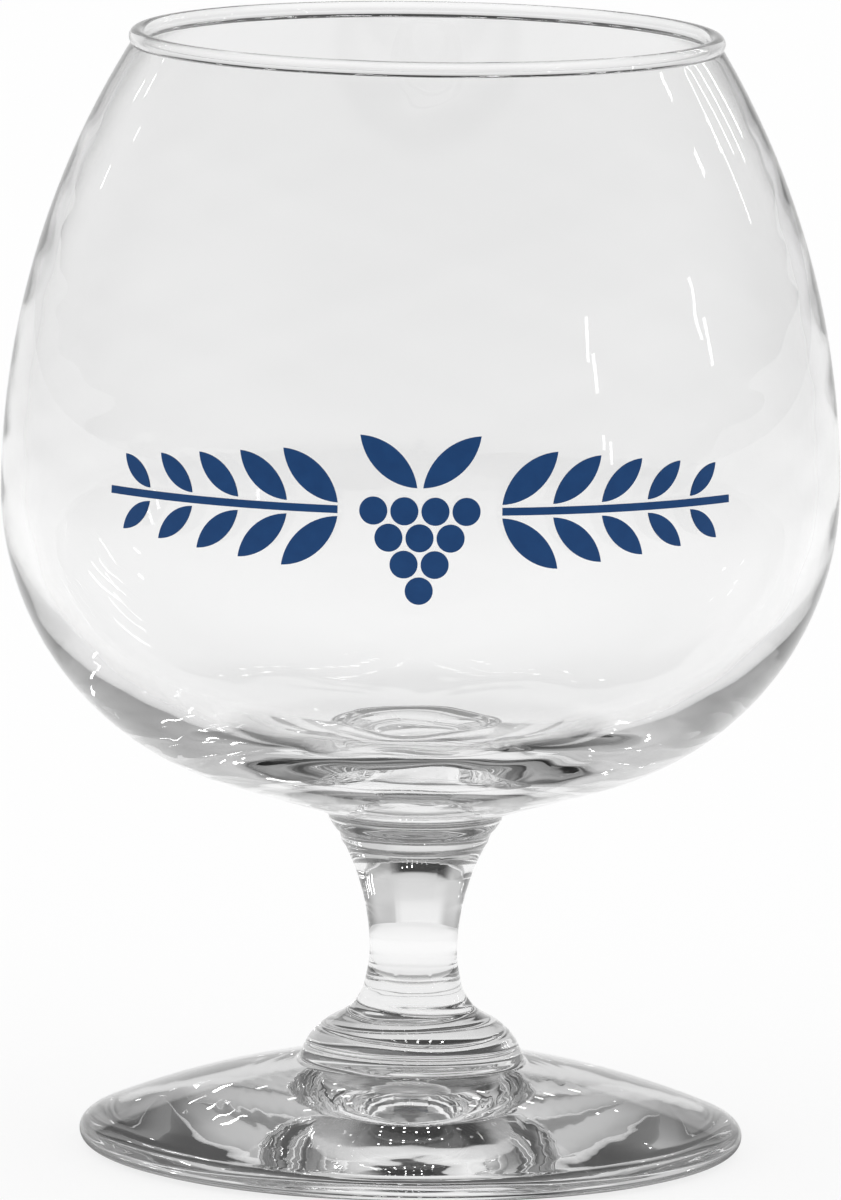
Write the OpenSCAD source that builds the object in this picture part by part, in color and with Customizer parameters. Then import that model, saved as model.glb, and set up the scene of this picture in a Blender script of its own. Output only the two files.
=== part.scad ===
// Brandy snifter: a blown bowl, a solid stem and a pressed foot, fused end to end.
// A fired-on blue ornament sits on the front of the bowl.
// Lengths are in millimetres. The glass stands on z = 0 with its axis on Z and its front toward -Y.

/* [Bowl] */
// Outer width of the bowl at its belly
belly_d = 88.9; // [70:0.1:110]
// Height of the belly's widest line above the joint with the stem
belly_h = 35.5; // [30:0.1:41]
// Height of the bowl from the joint to the top of the lip
bowl_h = 84.1; // [65:0.1:110]
// Radius of the round shoulder under the belly
shoulder_r = 32.3; // [27:0.1:36]
// Outer width of the bead on the lip
lip_d = 63; // [50:0.1:80]
// Thickness of the bead, melted round at the lip
bead_d = 1.8; // [1.4:0.05:3]
// How far the bead stands out past the wall below it
bead_out = 0.65; // [0.2:0.05:1]
// Wall under the lip, measured level
lip_wall = 1.2; // [0.8:0.05:2]
// Wall at the belly
belly_wall = 2.4; // [1.2:0.05:3]
// Glass under the middle of the bowl, down to the joint
floor_t = 7.4; // [4:0.1:9]
// Radius of the dished floor inside
dish_r = 120; // [60:1:400]
// Radius of the hollow neck where the bowl runs down to the stem
neck_r = 1; // [0.4:0.05:2]

/* [Stem] */
// Width of the round joint between bowl and stem
joint_d = 18.4; // [14:0.1:24]
// Length of the stem between its two joints
stem_l = 16.8; // [10:0.1:60]
// Width of the stem at its waist
waist_d = 9.34; // [7:0.02:12]
// Height of the waist above the joint with the foot
waist_h = 2.5; // [1:0.1:6]

/* [Foot] */
// Width of the joint between stem and foot
seam_d = 10; // [8:0.05:13]
// Height of the foot from the table to the stem
foot_h = 18.4; // [16:0.1:24]
// Outer width of the foot
foot_d = 70.6; // [56:0.1:90]
// Radius of the foot's round edge
edge_r = 1.25; // [0.8:0.05:1.5]
// Height of the round edge's centre above the table
edge_h = 1.5; // [1.5:0.05:2.5]
// Radius of the foot's curved top
brow_r = 100; // [50:1:200]
// Width of the bell at its widest
bell_d = 24.4; // [20:0.1:28]
// Radius of the bell's round shoulder
bell_r = 6.8; // [5:0.1:8]
// Height of the bell's widest line above the table
bell_h = 7.7; // [6.5:0.1:8.5]
// Height at which the bell's side meets the foot's top
brow_h = 9.2; // [9:0.1:11]
// Radius of the hollow flare from the bell up to the stem
flare_r = 5.5; // [4:0.1:9]
// How far the ring that the foot stands on lies in from the foot's outer edge
ring_inset = 1.8; // [1.5:0.1:8]
// Width of the standing ring
ring_w = 2.5; // [1:0.1:5]
// Rise of the hollow under the foot
hollow_h = 3; // [1.5:0.1:5]

/* [Ornament] */
// Thickness of the fired-on colour
ink_t = 0.15; // [0.08:0.01:0.3]
// Clearance between the colour's solid and the glass
ink_gap = 0.02; // [0.01:0.01:0.05]
// Height of the ornament's middle line above the belly
ink_h = 3.6; // [-4:0.1:8]
// Width of one berry of the bunch
berry_d = 2.9; // [2:0.05:4]
// Bare glass between neighbouring shapes of the ornament
ink_space = 0.3; // [0.15:0.05:0.6]
// Berries in the top row of the bunch
berry_rows = 4; // [2:1:5]
// Height of the bunch's stalk above its top row
stalk_h = 2.4; // [2:0.1:4]
// Length of the largest leaf
leaf_l = 8; // [5:0.1:11]
// Width of the largest leaf
leaf_w = 2.9; // [2:0.1:4]
// Lean of a leaf from its twig, in degrees
leaf_lean = 42; // [25:1:60]
// Share of its size that a leaf loses toward the twig's tip
leaf_taper = 0.5; // [0:0.05:0.7]
// Leaf pairs on each twig
leaf_pairs = 5; // [2:1:7]
// Angle round the bowl from the middle to a twig's first leaves
twig_from = 11; // [8:0.5:16]
// Angle round the bowl between leaf pairs
twig_step = 7; // [5:0.5:9]
// Thickness of a twig
twig_w = 0.8; // [0.4:0.05:1.5]

/* [Hidden] */
$fn = 180;

// Heights of the two joints, the belly and the lip
joint_z = foot_h + stem_l;
belly_z = joint_z + belly_h;
top_z = joint_z + bowl_h;
bead_z = top_z - bead_d / 2;
// The wall ends inside the bead, a little under its middle
wall_top_z = bead_z - bead_d / 3;

// Radius of an arc that starts upright and moves sideways by run over a height of rise
function sag(rise, run) = (rise * rise + run * run) / (2 * run);
// Point at a distance and an angle from another
function polar(p, r, a) = p + r * [cos(a), sin(a)];
// Angle of the line from p to q
function aim(p, q) = atan2(q[1] - p[1], q[0] - p[0]);
// Point at distance rp from p and rq from q, to the right of the line from p to q
function meet(p, rp, q, rq) =
    let (d = norm(q - p), a = (rp * rp - rq * rq + d * d) / (2 * d), u = (q - p) / d)
    p + a * u + sqrt(rp * rp - a * a) * [u[1], -u[0]];

// Outside of the bowl: an upper arc, the shoulder's arc and a cone that touches the neck
belly_r = belly_d / 2;
wall_r = lip_d / 2 - bead_out;
upper_r = sag(bead_z - belly_z, belly_r - wall_r);
shoulder_c = [belly_r - shoulder_r, belly_z];
neck_c = [joint_d / 2 + neck_r, joint_z];
cone_a = aim(neck_c, shoulder_c) + acos(min(1, (shoulder_r + neck_r) / norm(shoulder_c - neck_c)));
cone_top = polar(shoulder_c, -shoulder_r, cone_a);
cone_foot = polar(neck_c, neck_r, cone_a);

// Inside of the bowl: an upper arc, a shoulder arc and the dished floor
in_belly_r = belly_r - belly_wall;
in_wall_r = wall_r - lip_wall;
in_upper_r = sag(bead_z - belly_z, in_belly_r - in_wall_r);
floor_z = joint_z + floor_t;
deep = belly_z - floor_z;
in_shoulder_r = (2 * dish_r * deep - in_belly_r * in_belly_r - deep * deep) / (2 * (dish_r - in_belly_r));
in_shoulder_c = [in_belly_r - in_shoulder_r, belly_z];
dish_c = [0, floor_z + dish_r];
dish_a = aim(dish_c, in_shoulder_c);

// Stem: two arcs that meet at the waist
waist_z = foot_h + waist_h;
over_r = sag(joint_z - waist_z, (joint_d - waist_d) / 2);
under_r = sag(waist_h, (seam_d - waist_d) / 2);

// Foot: round edge, curved top, bell and flare
edge_c = [foot_d / 2 - edge_r, edge_h];
bell_c = [bell_d / 2 - bell_r, bell_h];
brow_in = [bell_c[0] + sqrt(bell_r * bell_r - pow(brow_h - bell_h, 2)), brow_h];
brow_c = meet(brow_in, brow_r, edge_c, brow_r - edge_r);
brow_end = polar(brow_c, brow_r, aim(brow_c, edge_c))[0];
flare_c = meet(bell_c, bell_r + flare_r, [seam_d / 2, foot_h], flare_r);
ring_out = foot_d / 2 - ring_inset;
ring_in = ring_out - ring_w;
hollow_r = sag(ring_in, hollow_h);

// Ornament
ink_z = belly_z + ink_h;
berry_step = berry_d + ink_space;

// The right half of a disc
module half_disc(c, r) {
    intersection() {
        translate(c) circle(r);
        translate([0, c[1] - 2 * r]) square([c[0] + 2 * r, 4 * r]);
    }
}

// The right half of a disc between two heights
module disc_band(c, r, low, high) {
    intersection() {
        translate(c) circle(r);
        translate([0, low]) square([c[0] + 2 * r, high - low]);
    }
}

// The area inside the bowl's round outer skin, grown by t
module bowl_round(t) {
    disc_band([belly_r - upper_r, belly_z], upper_r + t, belly_z, wall_top_z);
    disc_band(shoulder_c, shoulder_r + t, joint_z, wall_top_z);
}

module bowl_outside() {
    bowl_round(0);
    difference() {
        polygon([
            [0, joint_z], neck_c, cone_foot, cone_top, [cone_top[0], belly_z], [0, belly_z],
        ]);
        translate(neck_c) circle(neck_r);
    }
}

module bowl_inside() {
    disc_band([in_belly_r - in_upper_r, belly_z], in_upper_r, belly_z, top_z);
    half_disc(in_shoulder_c, in_shoulder_r);
    intersection() {
        translate(dish_c) circle(dish_r);
        translate([0, floor_z - floor_t]) square([polar(dish_c, dish_r, dish_a)[0], belly_h]);
    }
}

module bowl() {
    color([0.93, 0.95, 0.95, 0.5]) rotate_extrude() {
        difference() {
            bowl_outside();
            bowl_inside();
        }
        translate([lip_d / 2 - bead_d / 2, bead_z]) circle(bead_d / 2);
    }
}

module stem() {
    color([0.9, 0.93, 0.94, 0.5]) rotate_extrude() {
        difference() {
            translate([0, waist_z]) square([joint_d / 2 + neck_r, joint_z - waist_z]);
            translate([waist_d / 2 + over_r, waist_z]) circle(over_r);
        }
        difference() {
            translate([0, foot_h]) square([seam_d / 2 + neck_r, waist_h]);
            translate([waist_d / 2 + under_r, waist_z]) circle(under_r);
        }
    }
}

module foot() {
    color([0.9, 0.93, 0.94, 0.5]) rotate_extrude() difference() {
        union() {
            intersection() {
                translate(brow_c) circle(brow_r);
                polygon([
                    [0, 0], [ring_out, 0], polar(edge_c, edge_r, -90), [brow_end, edge_h],
                    [brow_end, foot_h], [0, foot_h],
                ]);
            }
            translate(edge_c) circle(edge_r);
            half_disc(bell_c, bell_r);
            difference() {
                polygon([
                    [0, bell_h], bell_c,
                    bell_c + (flare_c - bell_c) * (foot_h - bell_h) / (flare_c[1] - bell_c[1]), [0, foot_h],
                ]);
                translate(flare_c) circle(flare_r);
            }
        }
        translate([0, hollow_h - hollow_r]) circle(hollow_r);
    }
}

// The section of a thin skin round the bowl, between two heights
module ink_skin(low, high) {
    intersection() {
        translate([0, low]) square([belly_d, high - low]);
        difference() {
            bowl_round(ink_gap + ink_t);
            bowl_round(ink_gap);
        }
    }
}

// Prints a flat motif onto the bowl, at an angle round it from the front
module pressed(a, reach) {
    intersection() {
        rotate_extrude() ink_skin(ink_z - reach, ink_z + reach);
        rotate([0, 0, a]) translate([0, -belly_r / 2, ink_z]) rotate([90, 0, 0])
            linear_extrude(belly_r) children();
    }
}

// A leaf shape from its stalk at the origin along +X
module leaf(l, w) {
    r = sag(l / 2, w / 2);
    intersection() {
        translate([l / 2, w / 2 - r]) circle(r);
        translate([l / 2, r - w / 2]) circle(r);
    }
}

module print_bunch() {
    color([0.09, 0.26, 0.45]) {
        pressed(0, berry_rows * berry_step)
            for (row = [0:berry_rows - 1], i = [0:berry_rows - 1 - row])
                translate([(i - (berry_rows - 1 - row) / 2) * berry_step, -row * berry_step * sin(60)])
                    circle(d = berry_d);
        for (s = [0, 1])
            pressed(0, 2 * leaf_l) mirror([s, 0, 0]) translate([ink_space, stalk_h])
                rotate(leaf_lean) leaf(leaf_l, leaf_w);
    }
}

// A twig to the right of the bunch, with leaves in pairs that shorten toward its tip
module twig() {
    for (i = [0:leaf_pairs - 1], s = [0, 1]) {
        share = 1 - leaf_taper * i / leaf_pairs;
        pressed(twig_from + i * twig_step, 2 * leaf_l) mirror([0, s, 0])
            translate([0, twig_w / 2 + ink_space]) rotate(leaf_lean)
                leaf(leaf_l * share, leaf_w * share);
    }
    rotate([0, 0, twig_from - 90]) rotate_extrude(angle = leaf_pairs * twig_step)
        ink_skin(ink_z - twig_w / 2, ink_z + twig_w / 2);
}

module print_twig_right() {
    color([0.09, 0.26, 0.45]) twig();
}

module print_twig_left() {
    color([0.09, 0.26, 0.45]) mirror([1, 0, 0]) twig();
}

bowl();
stem();
foot();
print_bunch();
print_twig_left();
print_twig_right();
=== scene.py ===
import math

import bpy
import numpy as np
from mathutils import Euler, Matrix, Vector


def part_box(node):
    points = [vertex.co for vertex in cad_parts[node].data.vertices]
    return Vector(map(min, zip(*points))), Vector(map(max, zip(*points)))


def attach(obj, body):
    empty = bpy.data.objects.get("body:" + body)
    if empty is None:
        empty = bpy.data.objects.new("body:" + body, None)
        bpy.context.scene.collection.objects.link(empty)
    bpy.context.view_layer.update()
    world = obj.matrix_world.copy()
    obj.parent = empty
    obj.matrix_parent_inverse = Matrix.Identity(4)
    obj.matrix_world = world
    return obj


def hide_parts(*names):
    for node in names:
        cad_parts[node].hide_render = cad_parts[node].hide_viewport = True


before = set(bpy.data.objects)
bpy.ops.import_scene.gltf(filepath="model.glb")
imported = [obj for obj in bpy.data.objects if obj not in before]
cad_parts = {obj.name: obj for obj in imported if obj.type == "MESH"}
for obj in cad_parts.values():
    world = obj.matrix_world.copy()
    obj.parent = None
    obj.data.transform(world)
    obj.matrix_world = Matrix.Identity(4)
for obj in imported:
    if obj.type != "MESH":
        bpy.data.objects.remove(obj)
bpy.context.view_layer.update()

# Bowl
# The blown cup of the snifter in clear soda-lime glass. Its cut lip is melted
# back to a round bead, and the thick bottom is fused to the stem while hot.
scene = bpy.context.scene
mm = 0.001


def arc(centre, radius, start, end, step):
    """Points on an arc between two angles in degrees, about one step in mm apart."""
    count = max(4, math.ceil(abs(math.radians(end - start)) * radius / step))
    angles = np.radians(np.linspace(start, end, count + 1))
    return np.stack([centre[0] + radius * np.cos(angles), centre[1] + radius * np.sin(angles)], 1)


def aim(start, end):
    """Angle in degrees of the line from one point to another."""
    return math.degrees(math.atan2(end[1] - start[1], end[0] - start[0]))


def sag_radius(rise, run):
    """Radius of an arc that starts upright and moves sideways by run over a height of rise."""
    return (rise * rise + run * run) / (2 * run)


def trim(points, length):
    """Cuts a length in mm off the end of a run of points."""
    steps = np.hypot(*np.diff(points, axis=0).T)
    left = np.concatenate([np.cumsum(steps[::-1])[::-1], [0]])
    keep = points[left > length]
    start, end = keep[-1], points[len(keep)]
    share = (left[len(keep) - 1] - length) / steps[len(keep) - 1]
    return np.concatenate([keep, [start + share * (end - start)]])


def melted(first, second, ease):
    """Joins two runs that meet in a corner, with the corner melted round over a length of ease."""
    corner, bend_steps = first[-1], 6
    first, second = trim(first, ease), trim(second[::-1], ease)[::-1]
    t = np.linspace(0, 1, bend_steps + 1)[1:-1, None]
    bend = (1 - t) ** 2 * first[-1] + 2 * t * (1 - t) * corner + t**2 * second[0]
    return np.concatenate([first, bend, second])


def run_along(outline):
    """Distance in mm from the start of an outline to each of its points."""
    return np.concatenate([[0], np.cumsum(np.hypot(*np.diff(outline, axis=0).T))])


def swell(along, angles, waves):
    """Sum of slow waves, each a height and a length in mm, a count round the glass and a phase."""
    total = 0
    for height, length, count, phase in waves:
        total = total + height * np.cos(2 * math.pi * along / length + count * angles + phase)
    return total


def window(value, start, end, ease):
    """1 between start and end, falling to 0 over a length of ease outside them."""
    inside = np.minimum((value - start) / ease + 1, (end - value) / ease + 1)
    t = np.clip(inside, 0, 1)
    return t * t * (3 - 2 * t)


def spun(name, outline, dent):
    """A closed mesh spun about Z from an outline in mm that starts and ends on the axis.

    dent gives how far each point is pressed into the glass, from its ring and its angle."""
    turns, sharp_edge = 256, math.radians(50)
    angles = np.linspace(0, 2 * math.pi, turns, endpoint=False)
    rings = outline[1:-1]
    slope = np.gradient(outline, axis=0)[1:-1]
    inward = np.stack([slope[:, 1], -slope[:, 0]], 1) / np.hypot(*slope.T)[:, None]
    depth = dent(rings[:, :1], rings[:, 1:], run_along(outline)[1:-1, None], angles[None])
    radius = rings[:, :1] + depth * inward[:, :1]
    height = rings[:, 1:] + depth * inward[:, 1:]
    points = np.stack([radius * np.sin(angles), -radius * np.cos(angles), height], 2).reshape(-1, 3)
    poles = [(0, 0, outline[0][1]), (0, 0, outline[-1][1])]
    first, last = len(points), len(points) + 1
    faces = []
    for k in range(turns):
        after = (k + 1) % turns
        faces.append((first, k, after))
        for i in range(len(rings) - 1):
            low, high = i * turns, (i + 1) * turns
            faces.append((low + k, high + k, high + after, low + after))
        end = (len(rings) - 1) * turns
        faces.append((last, end + after, end + k))
    mesh = bpy.data.meshes.new(name)
    mesh.from_pydata((np.concatenate([points, poles]) * mm).tolist(), [], faces)
    mesh.shade_smooth()
    mesh.set_sharp_from_angle(angle=sharp_edge)
    piece = bpy.data.objects.new(name, mesh)
    scene.collection.objects.link(piece)
    return piece


joint_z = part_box("bowl")[0].z / mm
lip_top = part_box("bowl")[1].z / mm
belly_r, belly_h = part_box("bowl")[1].x / mm, 35.5
belly_z = joint_z + belly_h
shoulder_r = 32.3
lip_r, bead_r, bead_out = 31.5, 0.9, 0.65
lip_wall, belly_wall = 1.2, 2.4
floor_t, dish_r = 7.4, 120
joint_r, neck_r = 9.2, 1
wall_reach, bead_ease = 0.985, 0.15
wall_step, dish_step, bead_step, neck_step = 0.8, 1.0, 0.12, 0.15

bead_c = (lip_r - bead_r, lip_top - bead_r)
wall_r = lip_r - bead_out
rise = bead_c[1] - belly_z
upper_r = sag_radius(rise, belly_r - wall_r)
shoulder_c = np.array([belly_r - shoulder_r, belly_z])
neck_c = np.array([joint_r + neck_r, joint_z])
cone_l = np.hypot(*(shoulder_c - neck_c))
cone_a = aim(neck_c, shoulder_c) + math.degrees(math.acos((shoulder_r + neck_r) / cone_l))

in_belly_r = belly_r - belly_wall
in_upper_r = sag_radius(rise, in_belly_r - (wall_r - lip_wall))
floor_z = joint_z + floor_t
deep = belly_z - floor_z
in_shoulder_r = (2 * dish_r * deep - in_belly_r**2 - deep**2) / (2 * (dish_r - in_belly_r))
in_shoulder_c = (in_belly_r - in_shoulder_r, belly_z)
dish_c = (0, floor_z + dish_r)
dish_a = aim(dish_c, in_shoulder_c)

lip_a = math.degrees(math.asin(wall_reach * rise / upper_r))
in_lip_a = math.degrees(math.asin(wall_reach * rise / in_upper_r))
inside = np.concatenate(
    [
        arc(dish_c, dish_r, -90, dish_a, dish_step),
        arc(in_shoulder_c, in_shoulder_r, dish_a, 0, wall_step)[1:],
        arc((in_belly_r - in_upper_r, belly_z), in_upper_r, 0, in_lip_a, wall_step)[1:],
    ]
)
outside = np.concatenate(
    [
        arc((belly_r - upper_r, belly_z), upper_r, lip_a, 0, wall_step),
        arc(shoulder_c, shoulder_r, 0, cone_a - 180, wall_step)[1:],
        arc(neck_c, neck_r, cone_a, 180, neck_step),
    ]
)
bead = arc(bead_c, bead_r, aim(bead_c, inside[-1]), aim(bead_c, outside[0]) - 360, bead_step)
outline = melted(inside, np.concatenate([inside[-1:], bead]), bead_ease)
outline = melted(outline, np.concatenate([bead[-1:], outside]), bead_ease)
outline = np.concatenate([outline, [[0, joint_z]]])
wall_end = run_along(inside)[-1]


def blown(radius, height, along, angles):
    """Faint waves that blowing leaves on the inside of the bowl, gone at the lip and on the outside."""
    waves = ((0.012, 23, 4, 0.4), (0.009, 11, -7, 1.9), (0.006, 7, 12, 3.1), (0.004, 5, -19, 0.9))
    calm, fading = 12, 8
    return window(along, calm, wall_end - calm, fading) * swell(along, angles, waves)


bowl = spun("bowl_glass", outline, blown)


def grain(size, detail):
    """The value of a noise in the tree at hand, whose blotches are about one size in mm across."""
    place = tree.nodes.new("ShaderNodeTexCoord")
    node = tree.nodes.new("ShaderNodeTexNoise")
    node.inputs["Scale"].default_value = 1 / (size * mm)
    node.inputs["Detail"].default_value = detail
    tree.links.new(place.outputs["Object"], node.inputs["Vector"])
    return node.outputs["Fac"]


def relief(value, depth):
    """A normal that follows a value from 0 to 1 as a relief of some depth in mm."""
    node = tree.nodes.new("ShaderNodeBump")
    node.inputs["Distance"].default_value = depth * mm
    tree.links.new(value, node.inputs["Height"])
    return node.outputs["Normal"]


ripple_size, ripple_depth = 7, 0.006
clear = bpy.data.materials.new("clear glass")
clear.use_nodes = True
tree = clear.node_tree
shader = tree.nodes["Principled BSDF"]
shader.inputs["Base Color"].default_value = (1, 1, 1, 1)
shader.inputs["Roughness"].default_value = 0
shader.inputs["IOR"].default_value = 1.51
shader.inputs["Transmission Weight"].default_value = 1
tree.links.new(relief(grain(ripple_size, 1), ripple_depth), shader.inputs["Normal"])

fused = bpy.data.materials.new("fused joint")
fused.use_nodes = True
fused.node_tree.nodes["Principled BSDF"].inputs["Alpha"].default_value = 0


def glaze(piece, joints):
    """Gives a piece its clear glass, with the flat faces at its fused joints left out of sight."""
    level, touch = 0.999, 1e-6
    piece.data.materials.append(clear)
    piece.data.materials.append(fused)
    for face in piece.data.polygons:
        flat = abs(face.normal.z) > level
        face.material_index = int(flat and any(abs(face.center.z - z * mm) < touch for z in joints))


glaze(bowl, [joint_z])
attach(bowl, "root")
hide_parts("bowl")

# Stem
# A short solid stem drawn from its own gather in a mould, wide under the bowl and
# waisted above the foot. A tool left a groove and a ridge round it under the joint.
seam_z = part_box("stem")[0].z / mm
seam_r, waist_r, waist_h = 5, 4.67, 2.5
waist_z = seam_z + waist_h
side_step = 0.3
over_r = sag_radius(joint_z - waist_z, joint_r - waist_r)
under_r = sag_radius(waist_z - seam_z, seam_r - waist_r)
over_a = math.degrees(math.asin((joint_z - waist_z) / over_r))
under_a = math.degrees(math.asin((waist_z - seam_z) / under_r))
side = np.concatenate(
    [
        arc((waist_r + over_r, waist_z), over_r, 180 - over_a, 180, side_step),
        arc((waist_r + under_r, waist_z), under_r, 180, 180 + under_a, side_step)[1:],
    ]
)


def line(distance, half):
    """1 on a line, falling smoothly to 0 within a few half widths of it."""
    return np.exp(-((distance / half) ** 2))


def drawn(radius, height, along, angles):
    """Four raised mould seams, faint rings from drawing, and the tool's groove and ridge."""
    seam_height, seam_half, seam_at = 0.05, 0.16, math.radians(22)
    groove_depth, groove_half, groove_below = 0.16, 0.4, 1.5
    ridge_height, ridge_half, ridge_below = 0.1, 0.2, 2.4
    margin, fading = 1.2, 1
    to_seam = np.abs(np.abs(np.mod(angles + math.pi / 2, math.pi) - math.pi / 2) - seam_at) * radius
    seams = -seam_height * line(to_seam, seam_half)
    rings = swell(along, angles, ((0.006, 3.1, 0, 0.5), (0.004, 1.9, 1, 2.0)))
    below = joint_z - height
    groove = groove_depth * line(below - groove_below, groove_half)
    ridge = ridge_height * line(below - ridge_below, ridge_half)
    return window(height, seam_z + margin, joint_z - margin, fading) * (seams + rings) + groove - ridge


stem = spun("stem_glass", np.concatenate([[[0, joint_z]], side, [[0, seam_z]]]), drawn)
glaze(stem, [joint_z, seam_z])
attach(stem, "root")
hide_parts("stem")

# Foot
# A pressed disc with a bell in its middle, fused under the stem. It stands on a
# narrow ring round a shallow hollow.


def meet(p, p_radius, q, q_radius):
    """Point at given distances from two others, to the right of the line between them."""
    d = np.hypot(*(q - p))
    along = (p_radius**2 - q_radius**2 + d * d) / (2 * d)
    u = (q - p) / d
    return p + along * u + math.sqrt(p_radius**2 - along**2) * np.array([u[1], -u[0]])


foot_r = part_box("foot")[1].x / mm
edge_r, edge_z = 1.25, 1.5
bell_half, bell_r, bell_z = 12.2, 6.8, 7.7
brow_r, brow_z = 100, 9.2
flare_r = 5.5
ring_inset, ring_w = 1.8, 2.5
hollow_h = 3
round_step, brow_step, hollow_step = 0.12, 0.6, 0.3
bell_ease, edge_ease, ring_ease, hollow_ease = 0.5, 0.1, 0.3, 1.1

edge_c = np.array([foot_r - edge_r, edge_z])
bell_c = np.array([bell_half - bell_r, bell_z])
ring_out = foot_r - ring_inset
ring_in = ring_out - ring_w
hollow_r = sag_radius(ring_in, hollow_h)
hollow_c = (0, hollow_h - hollow_r)
seam = np.array([seam_r, seam_z])
flare_c = meet(bell_c, bell_r + flare_r, seam, flare_r)
brow_in = np.array([bell_c[0] + math.sqrt(bell_r**2 - (brow_z - bell_z) ** 2), brow_z])
brow_c = meet(brow_in, brow_r, edge_c, brow_r - edge_r)

flare = arc(flare_c, flare_r, aim(flare_c, seam) % 360, aim(flare_c, bell_c) % 360, round_step)
bell = arc(bell_c, bell_r, aim(bell_c, flare_c), aim(bell_c, brow_in), round_step)
brow = arc(brow_c, brow_r, aim(brow_c, brow_in), aim(brow_c, edge_c), brow_step)
edge = arc(edge_c, edge_r, aim(brow_c, edge_c), -90, round_step)
hollow = arc(hollow_c, hollow_r, aim(hollow_c, (ring_in, 0)), 90, hollow_step)
belled = np.concatenate([flare, bell[1:]])
top = melted(belled, brow, bell_ease)
rim = melted(np.concatenate([top, edge[1:]]), np.array([edge[-1], [ring_out, 0]]), edge_ease)
ring = melted(rim, np.array([[ring_out, 0], [ring_in, 0]]), ring_ease)
outline = np.concatenate([[[0, seam_z]], melted(ring, hollow, hollow_ease)])
bell_end = seam_r + run_along(belled)[-1]
under_start = run_along(outline)[-1] - run_along(hollow)[-1]


def chilled(along, angles):
    """Leaning rings, and a few deeper folds that wander round the front of the flare and bell."""
    lean = 1.2 * np.sin(angles + 0.6) + 0.5 * np.sin(3 * angles + 2)
    rings_band = (seam_r + 1.8, bell_end - 1.5, 1.2)
    fold_depth, fold_half = 0.14, 0.3
    fold_places = (
        (3.4, 0.5, 1, 0.3),
        (4.6, 0.35, 2, 2.2),
        (6.6, 0.6, 1, 3.6),
        (8.3, 0.4, 2, 0.8),
        (10.4, 0.3, 1, 5.1),
        (12.2, 0.25, 2, 4),
    )
    rings = 0
    for depth, gap, pull in ((0.010, 1.8, 1), (0.009, 1.1, 2)):
        rings = rings + depth * np.sin(2 * math.pi * along / gap + pull * lean)
    folds = 0
    for start, sway, turns, phase in fold_places:
        wander = start + sway * np.sin(turns * angles + phase)
        folds = folds + fold_depth * line(along - seam_r - wander, fold_half)
    front = np.clip(0.5 + 1.5 * np.cos(angles), 0, 1)
    return front * (rings * window(along, *rings_band) + folds * (along < bell_end))


def pressed(radius, height, along, angles):
    """Folds on the bell with one shear mark, and under the foot slow spiral waves and chill wrinkles."""
    mark_depth, mark_at, mark_z = 0.06, 6.1, 16
    mark_wide, mark_tall = 0.9, 0.5
    spiral_band, mottle_band, wrinkle_band = (18, ring_in - 4, 4), (21, ring_in - 2, 2), (8, 16, 3)
    at_front = 0.15
    mark = mark_depth * line((angles - mark_at) * radius, mark_wide) * line(height - mark_z, mark_tall)
    spiral = swell(radius, angles, ((0.014, 8 * math.pi, 9, 0), (0.006, -6 * math.pi, 16, 1)))
    spiral = spiral * window(radius, *spiral_band)
    mottle = swell(radius, angles, ((0.002, 3.2, 14, 0.5), (0.0008, 2.1, -25, 2.0)))
    mottle = mottle * window(radius, *mottle_band)
    waves = ((0.005, 2.6, 2, 0.2), (0.003, 1.7, -3, 1.3), (0.003, 1.3, 23, 2.6), (0.002, 0.9, -37, 0.7))
    wrinkles = swell(radius, angles, waves) * window(radius, *wrinkle_band)
    wrinkles = wrinkles * (at_front + (1 - at_front) * np.sin(angles) ** 2)
    above = chilled(along, angles) + mark * (along < under_start)
    return above + (spiral + mottle + wrinkles) * (along > under_start)


foot = spun("foot_glass", outline, pressed)
glaze(foot, [seam_z])
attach(foot, "root")
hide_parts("foot")

# Ornament
# Blue enamel, screen printed on the front of the bowl and fired until it
# fuses with the glass: a bunch of berries between two leafy twigs.
enamel = bpy.data.materials.new("fired blue enamel")
enamel.use_nodes = True
tree = enamel.node_tree
shader = tree.nodes["Principled BSDF"]


def spread(value, first, last):
    """A value from 0 to 1 stretched to run between two others."""
    node = tree.nodes.new("ShaderNodeMapRange")
    node.inputs["To Min"].default_value = first
    node.inputs["To Max"].default_value = last
    tree.links.new(value, node.inputs["Value"])
    return node.outputs[0]


thin_blue, full_blue = (0.0075, 0.056, 0.18, 1), (0.0035, 0.038, 0.135, 1)
pool_size, gloss_size, screen_size = 1.6, 0.5, 0.25
least_rough, most_rough, screen_depth = 0.3, 0.55, 0.006
pool = tree.nodes.new("ShaderNodeMix")
pool.data_type = "RGBA"
pool.inputs["A"].default_value = thin_blue
pool.inputs["B"].default_value = full_blue
tree.links.new(grain(pool_size, 3), pool.inputs["Factor"])
tree.links.new(pool.outputs["Result"], shader.inputs["Base Color"])
tree.links.new(spread(grain(gloss_size, 2), least_rough, most_rough), shader.inputs["Roughness"])
tree.links.new(relief(grain(screen_size, 1), screen_depth), shader.inputs["Normal"])
shader.inputs["Specular IOR Level"].default_value = 0.2
for name in ("print_bunch", "print_twig_left", "print_twig_right"):
    print_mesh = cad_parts[name].data
    print_mesh.materials.clear()
    print_mesh.materials.append(enamel)

# Floor
# A wide table top of matt white paper that keeps the glass's soft shadow. To rays that
# leave the glass its colour and glow are painted darker with distance and to the sides,
# with a painted glow in the middle and a painted ring of contact shadow under the edge of the foot.
reach, drop = 6.0, 0.0002
table = bpy.data.meshes.new("table")
corners = [(-reach, -reach, 0), (reach, -reach, 0), (reach, reach, 0), (-reach, reach, 0)]
table.from_pydata(corners, [], [(0, 1, 2, 3)])
floor = bpy.data.objects.new("floor", table)
floor.location.z = -drop
scene.collection.objects.link(floor)

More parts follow.
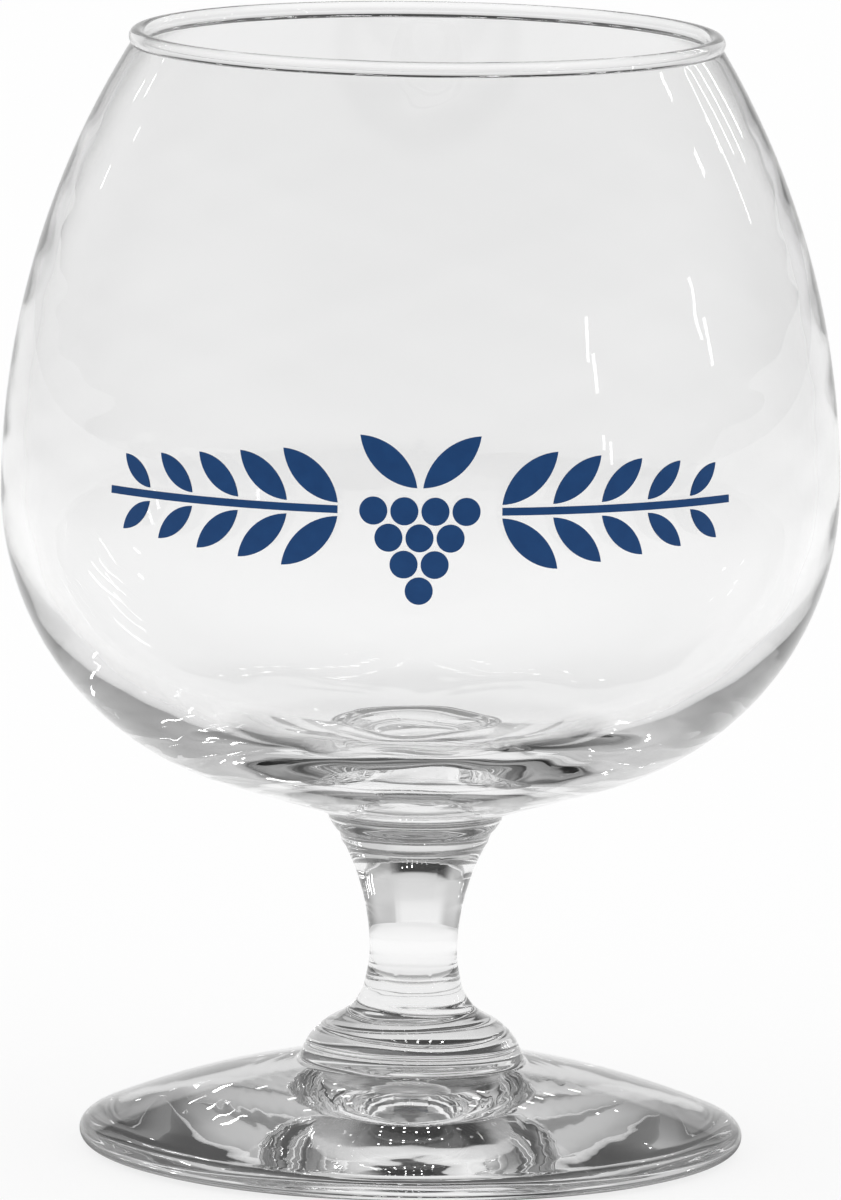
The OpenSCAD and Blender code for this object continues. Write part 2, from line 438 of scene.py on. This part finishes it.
white = bpy.data.materials.new("matt white")
white.use_nodes = True
tree = white.node_tree


def reckon(operation, *values):
    """The output of a Math node in the tree at hand, fed with sockets or numbers."""
    node = tree.nodes.new("ShaderNodeMath")
    node.operation = operation
    for socket, value in zip(node.inputs, values):
        if isinstance(value, bpy.types.NodeSocket):
            tree.links.new(value, socket)
        else:
            socket.default_value = value
    return node.outputs[0]


def glass_rays():
    """A value of 1 for the rays that leave a glass surface, and 0 for all others."""
    rays = tree.nodes.new("ShaderNodeLightPath")
    return reckon("MAXIMUM", rays.outputs["Is Glossy Ray"], rays.outputs["Is Transmission Ray"])


def eased(value, start, end, first, last):
    """A value that moves smoothly from first to last while the input goes from start to end."""
    node = tree.nodes.new("ShaderNodeMapRange")
    node.interpolation_type = "SMOOTHSTEP"
    tree.links.new(value, node.inputs["Value"])
    for socket, number in zip(("From Min", "From Max", "To Min", "To Max"), (start, end, first, last)):
        node.inputs[socket].default_value = number
    return node.outputs[0]


paper_white, paper_rough = 0.95, 0.9
# Painted shade: to rays that leave the glass the floor darkens with distance, more to the sides of the paper.
paper_from, paper_to, paper_far = 0.15, 0.8, 0.87
table_from, table_to, table_far = 0.3, 1.2, 0.65
paper_side, table_side = math.radians(25), math.radians(50)
# A painted ring of contact shadow under the edge of the foot, seen only by rays that leave the glass.
shadow_from, shadow_full, shadow_past, shadow_to = 0.020, 0.032, 0.034, 0.042
shadow_dark = 0.8
# A painted glow under the middle of the foot, seen only by rays that leave the glass.
glow_from, glow_to, glow_middle, glow_out, glow_seen = 0.016, 0.03, 0.9, 0.35, 0.8

spot = tree.nodes.new("ShaderNodeNewGeometry").outputs["Position"]
sides = tree.nodes.new("ShaderNodeSeparateXYZ")
tree.links.new(spot, sides.inputs[0])
measure = tree.nodes.new("ShaderNodeVectorMath")
measure.operation = "LENGTH"
tree.links.new(spot, measure.inputs[0])
away = measure.outputs["Value"]
off_centre = reckon("ABSOLUTE", reckon("ARCTAN2", sides.outputs["X"], sides.outputs["Y"]))
aside = eased(off_centre, paper_side, table_side, 0, 1)
# Painted darkening with distance, stronger to the sides of the paper.
paper_painted_dimming = reckon("MULTIPLY", eased(away, paper_from, paper_to, 1, paper_far), reckon("SUBTRACT", 1, aside))
table_painted_dimming = reckon("MULTIPLY", eased(away, table_from, table_to, 1, table_far), aside)
# Painted ring of contact shadow under the edge of the foot.
shadow_in = eased(away, shadow_from, shadow_full, 0, shadow_dark)
shadow_out = eased(away, shadow_past, shadow_to, shadow_dark, 0)
shadow = reckon("MINIMUM", shadow_in, shadow_out)
# The painted darkening and painted shadow change the floor's colour and glow only for rays that leave the
# glass.
painted_dimming_and_shadow = reckon("MULTIPLY", reckon("ADD", paper_painted_dimming, table_painted_dimming), reckon("SUBTRACT", 1, shadow))
in_glass = glass_rays()
tone_with_painted_shade = reckon("SUBTRACT", 1, reckon("MULTIPLY", in_glass, reckon("SUBTRACT", 1, painted_dimming_and_shadow)))
matt = tree.nodes["Principled BSDF"]
matt.inputs["Roughness"].default_value = paper_rough
colour = tree.nodes.new("ShaderNodeCombineColor")
for channel in colour.inputs:
    tree.links.new(reckon("MULTIPLY", tone_with_painted_shade, paper_white), channel)
tree.links.new(colour.outputs[0], matt.inputs["Base Color"])
glow = tree.nodes.new("ShaderNodeEmission")
tree.links.new(tone_with_painted_shade, glow.inputs["Strength"])
seen = tree.nodes.new("ShaderNodeLightPath").outputs["Is Camera Ray"]
# Painted glow: to rays that leave the glass the floor under the middle of the foot glows more than further
# out.
painted_glow_share = reckon("MULTIPLY", in_glass, eased(away, glow_from, glow_to, glow_middle, glow_out))
mix = tree.nodes.new("ShaderNodeMixShader")
tree.links.new(reckon("MAXIMUM", reckon("MULTIPLY", seen, glow_seen), painted_glow_share), mix.inputs[0])
tree.links.new(matt.outputs[0], mix.inputs[1])
tree.links.new(glow.outputs[0], mix.inputs[2])
tree.links.new(mix.outputs[0], tree.nodes["Material Output"].inputs[0])
table.materials.append(white)

# Light
# A white dome that lights matt surfaces softly from all round. The clear glass shows the
# studio instead: white paper behind it with rows of small lamps over it, greyer quarters
# to the left and right of the paper, dim sides and a dark room in front.
room = bpy.data.worlds.new("studio")
scene.world = room
room.use_nodes = True
tree = room.node_tree
backdrop = tree.nodes["Background"]


def shade(steps):
    """A grey that follows the height above the horizon, from (degrees, grey) steps."""
    ramp = tree.nodes.new("ShaderNodeValToRGB")
    tree.links.new(reckon("DIVIDE", height, math.pi / 2), ramp.inputs[0])
    stops = ramp.color_ramp.elements
    while len(stops) > 1:
        stops.remove(stops[-1])
    for n, (degrees, grey) in enumerate(steps):
        stop = stops[0] if n == 0 else stops.new(degrees / 90)
        stop.position = degrees / 90
        stop.color = (grey, grey, grey, 1)
    return ramp.outputs[0]


def blend(share, first, second):
    """A colour that goes from the first to the second as the share goes from 0 to 1."""
    node = tree.nodes.new("ShaderNodeMix")
    node.data_type = "RGBA"
    tree.links.new(share, node.inputs["Factor"])
    for socket, value in ((node.inputs["A"], first), (node.inputs["B"], second)):
        if isinstance(value, bpy.types.NodeSocket):
            tree.links.new(value, socket)
        else:
            socket.default_value = value
    return node.outputs["Result"]


def past(low, high):
    """A value that goes from 0 to 1 between two bearings in degrees off the paper's middle."""
    return eased(off_centre, math.radians(low), math.radians(high), 0, 1)


paper_turn = math.radians(6)
paper_edge, quarter_edge, side_edge = (14, 27), (40, 70), (110, 150)
place = tree.nodes.new("ShaderNodeTexCoord")
sides = tree.nodes.new("ShaderNodeSeparateXYZ")
tree.links.new(place.outputs["Generated"], sides.inputs[0])
bearing = reckon("ARCTAN2", sides.outputs["X"], sides.outputs["Y"])
height = reckon("ARCSINE", sides.outputs["Z"])
off_centre = reckon("ABSOLUTE", reckon("ADD", bearing, paper_turn))
behind = shade(
    [
        (0, 0.86),
        (5, 0.8),
        (8, 0.74),
        (11, 0.7),
        (14, 0.66),
        (16, 0.6),
        (17, 0.55),
        (18.5, 0.04),
        (60, 0.04),
        (80, 0.4),
    ]
)
quarter = shade(
    [(0, 0.5), (5, 0.55), (9, 0.6), (18, 0.6), (22, 0.4), (34, 0.3), (40, 0.08), (56, 0.06), (80, 0.4)]
)
beside = shade([(0, 0.16), (5, 0.18), (12, 0.26), (20, 0.28), (30, 0.18), (45, 0.2), (80, 0.4)])
before = shade([(0, 0.1), (10, 0.07), (30, 0.06), (40, 0.08), (60, 0.1), (80, 0.15)])
studio = blend(past(*side_edge), beside, before)
studio = blend(past(*quarter_edge), quarter, studio)
studio = blend(past(*paper_edge), behind, studio)


def near_middle(value, gap, half):
    """A value of 1 near the middle of each gap in degrees, and 0 elsewhere."""
    turn = reckon("FRACT", reckon("DIVIDE", value, math.radians(gap)))
    return reckon("LESS_THAN", reckon("ABSOLUTE", reckon("SUBTRACT", turn, 0.5)), half)


def between(value, low, high):
    """A value of 1 between two angles in degrees."""
    above = reckon("GREATER_THAN", value, math.radians(low))
    return reckon("MULTIPLY", above, reckon("LESS_THAN", value, math.radians(high)))


def lit_at_random(share):
    """A value of 1 for a share of the lamps, picked by row and column."""
    node = tree.nodes.new("ShaderNodeTexWhiteNoise")
    node.noise_dimensions = "2D"
    cell = tree.nodes.new("ShaderNodeCombineXYZ")
    for socket, value, gap in ((cell.inputs[0], bearing, column_gap), (cell.inputs[1], height, row_gap)):
        tree.links.new(reckon("FLOOR", reckon("DIVIDE", value, math.radians(gap))), socket)
    tree.links.new(cell.outputs[0], node.inputs["Vector"])
    return reckon("LESS_THAN", node.outputs["Value"], share)


row_gap, column_gap = 2.5, 3.2
lamp_tall, lamp_wide = 0.1, 0.08
lamps_low, lamps_high, lamps_side = 20, 52.5, 9.6
lamps_lit, lamp_light = 0.6, 6
dome_light = 1.05
rows = near_middle(height, row_gap, lamp_tall)
columns = near_middle(bearing, column_gap, lamp_wide)
lamps = reckon("MULTIPLY", reckon("MULTIPLY", rows, columns), lit_at_random(lamps_lit))
field = reckon("MULTIPLY", between(height, lamps_low, lamps_high), between(bearing, -lamps_side, lamps_side))
studio = blend(reckon("MULTIPLY", lamps, field), studio, (lamp_light, lamp_light, lamp_light, 1))
tree.links.new(blend(glass_rays(), (1, 1, 1, 1), studio), backdrop.inputs["Color"])
backdrop.inputs["Strength"].default_value = dome_light

aim_at = Vector((0, 0, 0.07))
window_far, window_light = 2.0, 6


def soft_box(name, azimuth, elevation, width, tall):
    """A rectangular lamp that faces the glass, at a bearing from the front and a height in degrees."""
    a, e = math.radians(azimuth), math.radians(elevation)
    direction = Vector((math.sin(a) * math.cos(e), -math.cos(a) * math.cos(e), math.sin(e)))
    data = bpy.data.lights.new(name, "AREA")
    data.shape = "RECTANGLE"
    data.size, data.size_y = width, tall
    data.energy = window_light * width * tall * math.pi
    lamp = bpy.data.objects.new(name, data)
    lamp.location = aim_at + direction * window_far
    lamp.rotation_euler = direction.to_track_quat("Z", "Y").to_euler()
    lamp.visible_camera = False
    scene.collection.objects.link(lamp)


windows = (
    (50, 13, 0.035, 0.17),
    (53, 3, 0.03, 0.1),
    (90, 11, 0.04, 0.17),
    (110, 23, 0.05, 0.08),
    (124, 17, 0.02, 0.3),
    (130, 20, 0.02, 0.3),
    (135, 18, 0.02, 0.35),
    (141, 17, 0.03, 0.35),
    (-128, 14, 0.02, 0.06),
    (-134, 18, 0.02, 0.05),
    (-122, 20, 0.02, 0.04),
)
for n, (azimuth, elevation, width, tall) in enumerate(windows):
    soft_box(f"window {n + 1}", azimuth, elevation, width, tall)

# Camera
# The photograph's view: a long lens 1.5 m in front of the glass and a little above
# its lip, tilted down to it and rolled by just under a degree.
camera_data = bpy.data.cameras.new("camera")
camera = bpy.data.objects.new("camera", camera_data)
scene.collection.objects.link(camera)
scene.camera = camera
focal_px, photo_h = 14286.77, 1200
camera_at, pitch, roll = (0.0002, -1.5, 0.27706), 0.1446, 0.0153
camera_data.lens = camera_data.sensor_width * focal_px / photo_h
camera_data.clip_end = 50
turn = Euler((math.pi / 2 - pitch, 0, 0)).to_matrix() @ Matrix.Rotation(roll, 3, "Z")
camera.matrix_world = Matrix.Translation(camera_at) @ turn.to_4x4()

# Render
# Plain colour, and enough bounces for light to find its way through the thick glass
# and past its fused joints.
bounces = 24
scene.view_settings.view_transform = "Standard"
scene.cycles.max_bounces = bounces
scene.cycles.transmission_bounces = bounces
scene.cycles.glossy_bounces = bounces
scene.cycles.transparent_max_bounces = bounces
scene.cycles.use_denoising = True
